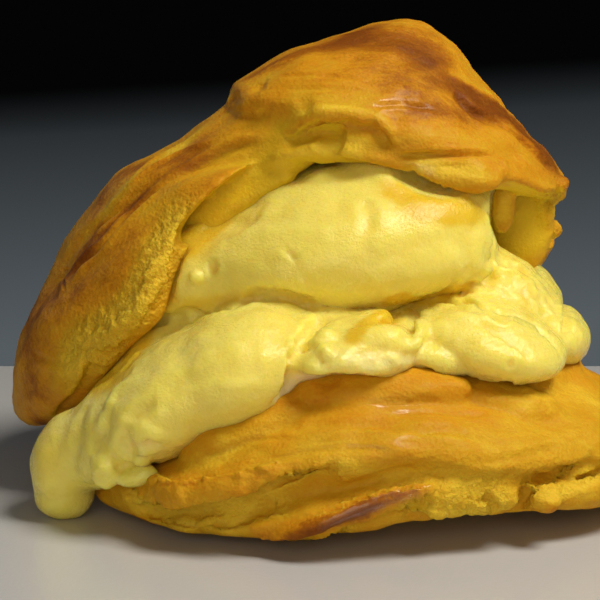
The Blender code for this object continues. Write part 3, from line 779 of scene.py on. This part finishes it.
def shape_base(skin):
    outer = smooth(-0.1, 0.5, outwardness(skin, BASE_MIDDLE, 2.0))
    long_lumps = skin.points * np.array((0.4, 0.4, 1.0))
    relief = 0.26 * lump_noise(long_lumps, 2.2, 21) + 0.16 * lump_noise(long_lumps, 1.1, 22)
    relief += 0.05 * lump_noise(long_lumps, 0.6, 25)
    relief += 0.40 * lump_noise(skin.points, 6.0, 23)
    above = smooth(0.4, 2.4, skin.points[:, 2])
    skin.push(outer * relief * above)
    press(skin, BASE_STEPS, BASE_GROOVES, BASE_PITS)
    crumble(skin, base_crumb(skin) * above, 24)
    skin.points[:, 2] = np.maximum(skin.points[:, 2], 0.0)


def base_crumb(skin):
    inner = smooth(0.2, -0.2, outwardness(skin, BASE_MIDDLE, 2.0) + 0.2 * lump_noise(skin.points, 1.8, 28))
    return np.clip(inner + skin.strokes(BASE_CRUMB), 0.0, 1.0)


def shape_cream(skin, swell):
    relief = 0.32 * lump_noise(skin.points, 5.0, 41) + 0.20 * lump_noise(skin.points, 2.2, 42)
    relief += 0.08 * lump_noise(skin.points, 1.0, 43)
    skin.push(swell + relief * 0.6)
    press(skin, CREAM_STEPS, CREAM_GROOVES, CREAM_PITS)
    rough = skin.strokes(CREAM_ROUGH)
    knots = 0.42 * lump_noise(skin.points, 2.3, 46) + 0.30 * lump_noise(skin.points, 1.3, 44)
    knots += 0.14 * lump_noise(skin.points, 0.7, 45)
    skin.push(rough * knots)
    skin.points[:, 2] = np.maximum(skin.points[:, 2], 0.05)


def paint_crust(skin, start, browning, paleness, crumb, gloss, deep):
    # On the base, browning also carries painted shade and paleness painted light.
    browned = start + skin.strokes(browning) - skin.strokes(paleness)
    skin.keep_field("browned", browned * (1.0 - 0.7 * crumb) + 0.1 * crumb)
    skin.keep_field("crumb", crumb)
    skin.keep_field("gloss", skin.strokes(gloss))
    # deep is painted shade: where the crust is coloured deep gold for the shade inside.
    skin.keep_field("deep", deep)


# --- materials

class Value:
    """A shader socket that can be used in sums."""

    def __init__(self, tree, socket):
        self.tree = tree
        self.socket = socket

    def combine(self, operation, first, second):
        node = self.tree.nodes.new("ShaderNodeMath")
        node.operation = operation
        for socket, value in zip(node.inputs, (first, second)):
            if isinstance(value, Value):
                self.tree.links.new(value.socket, socket)
            else:
                socket.default_value = value
        return Value(self.tree, node.outputs[0])

    def __add__(self, other):
        return self.combine("ADD", self, other)

    __radd__ = __add__

    def __sub__(self, other):
        return self.combine("SUBTRACT", self, other)

    def __rsub__(self, other):
        return self.combine("SUBTRACT", other, self)

    def __mul__(self, other):
        return self.combine("MULTIPLY", self, other)

    __rmul__ = __mul__

    def clamped(self):
        return self.combine("MINIMUM", self.combine("MAXIMUM", self, 0.0), 1.0)


class Finish:
    """One material, and short ways to add its nodes."""

    def __init__(self, name):
        self.material = bpy.data.materials.new(name)
        self.material.use_nodes = True
        self.tree = self.material.node_tree
        self.shader = self.tree.nodes["Principled BSDF"]
        self.where = self.node("ShaderNodeTexCoord", output="Object")

    def node(self, kind, settings=None, inputs=None, output=0):
        """Add a node, set it, feed its sockets and return one output."""
        node = self.tree.nodes.new(kind)
        for name, value in (settings or {}).items():
            setattr(node, name, value)
        for name, value in (inputs or {}).items():
            self.feed(node.inputs[name], value)
        return Value(self.tree, node.outputs[output])

    def feed(self, socket, value):
        if isinstance(value, Value):
            self.tree.links.new(value.socket, socket)
        else:
            socket.default_value = value

    def set(self, **inputs):
        for name, value in inputs.items():
            self.feed(self.shader.inputs[name.replace("_", " ")], value)

    def field(self, name):
        return self.node("ShaderNodeAttribute", {"attribute_name": name}, output="Fac")

    def noise(self, size, detail=3.0, roughness=0.55, stretch=(1.0, 1.0, 1.0), turn=0.0):
        """Noise with lumps of a size in millimetres, stretched along each axis."""
        inputs = {"Vector": self.where, "Scale": stretch, "Rotation": (0.0, turn, 0.0)}
        vector = self.node("ShaderNodeMapping", {"vector_type": "POINT"}, inputs)
        inputs = {"Vector": vector, "Scale": 1.0 / (size * MM), "Detail": detail, "Roughness": roughness}
        return self.node("ShaderNodeTexNoise", {}, inputs)

    def cells(self, size):
        inputs = {"Vector": self.where, "Scale": 1.0 / (size * MM)}
        return self.node("ShaderNodeTexVoronoi", {"feature": "F1"}, inputs)

    def blend(self, share, first, second):
        """A colour between two, by a share."""
        node = self.tree.nodes.new("ShaderNodeMix")
        node.data_type = "RGBA"
        for socket, value in ((node.inputs[0], share), (node.inputs[6], first), (node.inputs[7], second)):
            self.feed(socket, value)
        return Value(self.tree, node.outputs[2])

    def steps(self, value, stops):
        """Colours laid out along a value."""
        node = self.tree.nodes.new("ShaderNodeValToRGB")
        ramp = node.color_ramp
        while len(ramp.elements) < len(stops):
            ramp.elements.new(0.5)
        for element, (place, colour) in zip(ramp.elements, stops):
            element.position = place
            element.color = colour
        self.feed(node.inputs[0], value)
        return Value(self.tree, node.outputs[0])

    def bump(self, height, distance, strength=1.0):
        inputs = {"Height": height, "Distance": distance * MM, "Strength": strength}
        return self.node("ShaderNodeBump", {}, inputs)


def opaque(colour):
    return (colour[0], colour[1], colour[2], 1.0)


def crust_finish(name, colours, fold_turn):
    """Baked choux: from yellow crumb through gold and orange to dark brown."""
    crust = Finish(name)
    browned = crust.field("browned")
    crumb = crust.field("crumb")
    patches = crust.noise(3.4, 3.0, 0.6, (0.5, 1.0, 1.0), fold_turn)
    streaks = crust.noise(0.9, 3.0, 0.6, (0.22, 1.0, 1.0), fold_turn)
    grains = crust.noise(0.35, 2.0, 0.6)
    mottle = (patches - 0.5) * 0.48 + (streaks - 0.5) * 0.36 + (grains - 0.5) * 0.30
    tone = browned + mottle * (1.0 - 0.5 * crumb) - 0.06 * crumb
    stops = (
        (0.0, opaque(colours.crumb_yellow)),
        (0.25, opaque(colours.crust_gold)),
        (0.5, opaque(colours.crust_orange)),
        (0.75, opaque(colours.crust_brown)),
        (1.0, opaque(colours.crust_dark)),
    )
    # The deep field lays painted shade in deep gold on the crust inside the lid.
    colour = crust.blend(crust.field("deep"), crust.steps(tone.clamped(), stops), opaque(colours.painted_shade_gold))
    height = crust.noise(1.4, 3.0, 0.6, (0.6, 1.0, 1.0), fold_turn) * 0.38
    height = height + crust.noise(0.45, 3.0, 0.65) * (0.26 + 0.5 * crumb)
    height = height + crust.cells(0.42) * (0.14 + 0.4 * crumb)
    rough = (CRUST_DULLNESS + 0.2 * crumb + (crust.noise(1.6) - 0.5) * 0.3).clamped()
    glaze = (0.02 + crust.field("gloss") * (0.4 + crust.noise(0.7)) - 0.1 * crumb).clamped()
    crust.set(Base_Color=colour, Roughness=rough, Coat_Weight=glaze, Normal=crust.bump(height, 0.5, 0.8))
    crust.set(Subsurface_Weight=0.3, Subsurface_Scale=0.0025, Subsurface_Radius=(1.0, 0.42, 0.05))
    crust.set(Specular_IOR_Level=0.09, Coat_Roughness=0.2)
    return crust.material


def cream_finish(colours):
    cream = Finish("thick_cream")
    thin = cream.field("thin")
    cloud = cream.noise(4.0, 3.0, 0.5)
    colour = cream.blend(cloud, opaque(colours.cream_light), opaque(colours.cream_deep))
    greasy = cream.blend(cream.noise(1.2), opaque(colours.smear_light), opaque(colours.smear_deep))
    colour = cream.blend((thin * (0.5 + cream.noise(0.9))).clamped(), colour, greasy)
    # Painted shade: the shade field turns the cream deep gold where the crust shades it.
    colour = cream.blend(cream.field("shade").clamped(), colour, opaque(colours.cream_painted_shade))
    height = cream.noise(1.1, 3.0, 0.6) * 0.12 + cream.noise(0.4, 3.0, 0.6) * 0.32
    rough = (0.26 + (cream.noise(1.5) - 0.5) * 0.3 - 0.1 * thin).clamped()
    cream.set(Base_Color=colour, Roughness=rough, Normal=cream.bump(height, 0.5, 0.8))
    cream.set(Subsurface_Weight=0.7, Subsurface_Scale=0.0035, Subsurface_Radius=(1.0, 0.70, 0.12))
    cream.set(Specular_IOR_Level=0.38)
    return cream.material


def floor_finish(colour):
    floor = Finish("pale_table")
    cloud = floor.noise(60.0, 2.0, 0.5)
    shade = floor.blend(cloud * 0.15, opaque(colour), TABLE_CLOUD)
    floor.set(Base_Color=shade, Roughness=0.22, Normal=floor.bump(floor.noise(0.6, 2.0), 0.05, 0.4))
    return floor.material


def screen_finish(colour):
    """A dark screen that glows: painted light low down, black at the top."""
    screen = Finish("screen")
    side, level = (
        screen.node("ShaderNodeSeparateXYZ", {}, {"Vector": screen.where}, output=axis) for axis in "XZ")
    below = 0.03 - level + side * 0.058
    glow = (below * 48.0).clamped() * (below * 7.7 + 0.09)
    shade = screen.blend(glow.clamped(), SCREEN_DARK, opaque(colour))
    screen.set(Base_Color=BLACK, Emission_Color=shade, Emission_Strength=1.0)
    screen.set(Specular_IOR_Level=0.0)
    return screen.material


# --- settings

def colour_property(name, description, default):
    return FloatVectorProperty(
        name=name, description=description, subtype="COLOR", size=3,
        min=0.0, max=1.0, default=default)


def power_property(name, description, default):
    return FloatProperty(name=name, description=description, default=default, min=0.0, max=100.0)


class PuffColours(bpy.types.PropertyGroup):
    crumb_yellow: colour_property("Crumb yellow", "Torn crumb and the palest crust", (0.76, 0.50, 0.035))
    crust_gold: colour_property("Crust gold", "Lightly baked crust", (0.63, 0.35, 0.015))
    crust_orange: colour_property("Crust orange", "Evenly baked crust", (0.60, 0.26, 0.009))
    crust_brown: colour_property("Crust brown", "Well browned crust", (0.35, 0.115, 0.005))
    crust_dark: colour_property("Crust dark", "Toasted edges", (0.20, 0.055, 0.004))
    cream_light: colour_property("Cream light", "The paler cream", (0.90, 0.79, 0.185))
    cream_deep: colour_property("Cream deep", "The yellower cream", (0.87, 0.71, 0.11))
    # Painted shade: the deep gold laid on cream where the crust shades it.
    cream_painted_shade: colour_property("Cream shade", "Cream that lies against the crust", (0.78, 0.53, 0.032))
    # Painted shade: the deep gold laid on crust inside the lid where shade falls.
    painted_shade_gold: colour_property("Deep gold", "Crumb deep under the lid", (0.72, 0.48, 0.02))
    smear_light: colour_property("Smear light", "Thin greasy cream over crust", (0.97, 0.88, 0.52))
    smear_deep: colour_property("Smear deep", "Crust that shows through thin cream", (0.94, 0.72, 0.28))
    table: colour_property("Table", "The pale table", (0.57, 0.57, 0.57))
    room: colour_property("Room", "The dim room around the table", (0.022, 0.026, 0.034))
    backdrop: colour_property("Backdrop", "The screen behind the table", (0.092, 0.107, 0.117))


class PuffSizes(bpy.types.PropertyGroup):
    crust_grain: FloatProperty(
        name="Crust grain", description="Size of the crust's faces",
        default=0.00034, min=0.0003, max=0.002, unit="LENGTH", precision=5)
    cream_grain: FloatProperty(
        name="Cream grain", description="Size of the cream's faces",
        default=0.00040, min=0.0003, max=0.002, unit="LENGTH", precision=5)
    cream_swell: FloatProperty(
        name="Cream swell", description="How far the cream fills its gap to the crust",
        default=0.00038, min=0.0, max=0.001, unit="LENGTH", precision=5)
    most_triangles: IntProperty(
        name="Most triangles", description="Limit for one piece",
        default=196000, min=20000, max=199000)


class PuffStage(bpy.types.PropertyGroup):
    camera_distance: FloatProperty(
        name="Camera distance", description="From the aim point",
        default=0.230, min=0.1, max=2.0, unit="LENGTH")
    camera_elevation: FloatProperty(
        name="Camera elevation", description="Above level",
        default=math.radians(9.0), min=0.0, max=1.5, subtype="ANGLE")
    field_width: FloatProperty(
        name="Field width", description="Width of the view at the aim point",
        default=0.075, min=0.02, max=1.0, unit="LENGTH")
    key_power: power_property("Key light", "Power of the key light in watts", 2.18)
    fill_power: power_property("Fill light", "Power of the fill light in watts", 0.88)
    back_power: power_property("Back light", "Power of the back light in watts", 0.10)


# --- operators

def dressed_copy(node, name, low, hollows, lumps, ropes, grain):
    """A rounded copy of a solid, hollowed, with its lumps on, under one even skin."""
    piece = copy_of_node(node, name)
    round_off(piece)
    cut_hollows(piece, low, hollows)
    add_lumps(piece, Front(piece, low), lumps, ropes)
    make_skin(piece, grain, 3)
    return Skin(piece, Front(piece, low))


def settle(skin, most_triangles):
    """Write the shaped points back, thin the mesh out and read it again."""
    skin.write()
    thin_out(skin.piece, most_triangles)
    skin.read()


def back_browning(skin, low, darker, uneven, size, seed):
    """Soft patches of browning on the back of a crust."""
    behind = smooth(BACK_START, BACK_FULL, skin.points[:, 1] - low.y)
    return behind * (darker + uneven * lump_noise(skin.points, size, seed))


def make_lid(sizes, colours):
    skin = dressed_copy(
        "lid_shell", "lid_crust", LID_LOW, LID_HOLLOWS, LID_LUMPS, LID_ROPES, sizes.crust_grain)
    shape_lid(skin)
    settle(skin, sizes.most_triangles)
    crumb = lid_crumb(skin)
    # Painted shade: the inner crust more than a few millimetres behind the front, and the marks of LID_SHADE,
    # turn deep gold.
    inner = smooth(0.25, -0.25, outwardness(skin, LID_MIDDLE, 1.0))
    deep = smooth(2.5, 6.0, skin.points[:, 1] - LID_LOW.y) * inner + skin.strokes(LID_SHADE)
    start = LID_TONE + back_browning(skin, LID_LOW, 0.10, 0.26, 15.0, 61)
    paint_crust(skin, start, LID_BROWNING, LID_PALENESS, crumb, LID_GLOSS, deep)
    finish_piece(skin.piece, crust_finish("lid_crust_finish", colours, FOLD_LEAN), "lid_shell")


def make_base(sizes, colours):
    skin = dressed_copy(
        "base_shell", "base_crust", BASE_LOW, BASE_HOLLOWS, BASE_LUMPS, BASE_ROPES, sizes.crust_grain)
    shape_base(skin)
    settle(skin, sizes.most_triangles)
    start = BASE_TONE + back_browning(skin, BASE_LOW, 0.08, 0.22, 12.0, 62)
    paint_crust(skin, start, BASE_BROWNING_AND_SHADE, BASE_PALENESS_AND_LIGHT, base_crumb(skin), BASE_GLOSS, np.zeros(len(start)))
    finish_piece(skin.piece, crust_finish("base_crust_finish", colours, 0.0), "base_shell")


def make_cream(sizes, colours):
    skin = dressed_copy(
        "cream_filling", "whipped_cream", CREAM_LOW, CREAM_HOLLOWS, CREAM_LUMPS, CREAM_ROPES,
        sizes.cream_grain)
    shape_cream(skin, sizes.cream_swell / MM)
    settle(skin, sizes.most_triangles)
    skin.keep_field("thin", skin.strokes(CREAM_THIN))
    # Painted shade: deep gold where the crust shades the cream, and the painted shadow under the eyelid.
    skin.keep_field("shade", smooth(0.1, 0.8, skin.strokes(CREAM_SHADE)))
    finish_piece(skin.piece, cream_finish(colours), "cream_filling")


def add_light(name, power):
    place, width, colour = LIGHTS[name]
    data = bpy.data.lights.new(name, "AREA")
    data.size = width
    data.energy = power
    data.color = colour
    light = bpy.data.objects.new(name, data)
    bpy.context.scene.collection.objects.link(light)
    light.location = place
    light.rotation_euler = (AIM - Vector(place)).to_track_quat("-Z", "Y").to_euler()


def add_sheet(name, width, depth, place, tilt, finish):
    """A flat sheet of the stage."""
    bpy.ops.mesh.primitive_plane_add(size=1.0, location=place, rotation=(tilt, 0.0, 0.0))
    sheet = bpy.context.object
    sheet.name = name
    sheet.scale = (width, depth, 1.0)
    bpy.ops.object.transform_apply(location=True, rotation=True, scale=True)
    sheet.data.materials.append(finish)


def make_stage(stage, colours):
    """The table, the screen, the lights and the camera."""
    scene = bpy.context.scene
    scene.view_settings.view_transform = "Standard"
    bpy.ops.object.select_all(action="DESELECT")
    add_sheet("table", 1.6, 1.0, (0.0, -0.428, -0.00002), 0.0, floor_finish(colours.table))
    add_sheet("screen", 1.2, 0.4, (0.0, 0.60, -0.05), math.pi / 2.0, screen_finish(colours.backdrop))

    world = bpy.data.worlds.new("dim_room")
    world.use_nodes = True
    world.node_tree.nodes["Background"].inputs[0].default_value = opaque(colours.room)
    scene.world = world

    add_light("key", stage.key_power)
    add_light("fill", stage.fill_power)
    add_light("back", stage.back_power)

    lens = bpy.data.cameras.new("camera")
    lens.sensor_width = 36.0
    lens.lens = 36.0 * stage.camera_distance / stage.field_width
    lens.clip_start = 0.01
    camera = bpy.data.objects.new("camera", lens)
    scene.collection.objects.link(camera)
    angle = stage.camera_elevation
    back = Vector((0.0, -math.cos(angle), math.sin(angle)))
    camera.location = AIM + back * stage.camera_distance
    camera.rotation_euler = (-back).to_track_quat("-Z", "Y").to_euler()
    scene.camera = camera


class PUFF_OT_lid(bpy.types.Operator):
    """Make the torn, folded lid crust"""
    bl_idname = "puff.lid"
    bl_label = "Lid crust"

    def execute(self, context):
        make_lid(context.scene.puff_sizes, context.scene.puff_colours)
        return {"FINISHED"}


class PUFF_OT_base(bpy.types.Operator):
    """Make the folded base crust"""
    bl_idname = "puff.base"
    bl_label = "Base crust"

    def execute(self, context):
        make_base(context.scene.puff_sizes, context.scene.puff_colours)
        return {"FINISHED"}


class PUFF_OT_cream(bpy.types.Operator):
    """Make the cream between lid and base"""
    bl_idname = "puff.cream"
    bl_label = "Cream"

    def execute(self, context):
        make_cream(context.scene.puff_sizes, context.scene.puff_colours)
        return {"FINISHED"}


class PUFF_OT_stage(bpy.types.Operator):
    """Make the table, the lights and the camera"""
    bl_idname = "puff.stage"
    bl_label = "Stage"

    def execute(self, context):
        make_stage(context.scene.puff_stage, context.scene.puff_colours)
        return {"FINISHED"}


class PUFF_PT_sidebar(bpy.types.Panel):
    bl_label = "Cream Puff"
    bl_space_type = "VIEW_3D"
    bl_region_type = "UI"
    bl_category = "Cream Puff"

    def draw(self, context):
        for group in ("puff_sizes", "puff_colours", "puff_stage"):
            settings = getattr(context.scene, group)
            box = self.layout.box()
            for name in settings.__annotations__:
                box.prop(settings, name)
        for operator in OPERATORS:
            self.layout.operator(operator.bl_idname)


GROUPS = {"puff_sizes": PuffSizes, "puff_colours": PuffColours, "puff_stage": PuffStage}
OPERATORS = (PUFF_OT_lid, PUFF_OT_base, PUFF_OT_cream, PUFF_OT_stage)


def register():
    for group in (*GROUPS.values(), *OPERATORS, PUFF_PT_sidebar):
        bpy.utils.register_class(group)
    for name, group in GROUPS.items():
        setattr(bpy.types.Scene, name, PointerProperty(type=group))


def unregister():
    for name in GROUPS:
        delattr(bpy.types.Scene, name)
    for group in reversed((*GROUPS.values(), *OPERATORS, PUFF_PT_sidebar)):
        bpy.utils.unregister_class(group)


def main():
    register()
    bpy.ops.puff.lid()
    bpy.ops.puff.base()
    bpy.ops.puff.cream()
    bpy.ops.puff.stage()


if __name__ == "__main__":
    main()
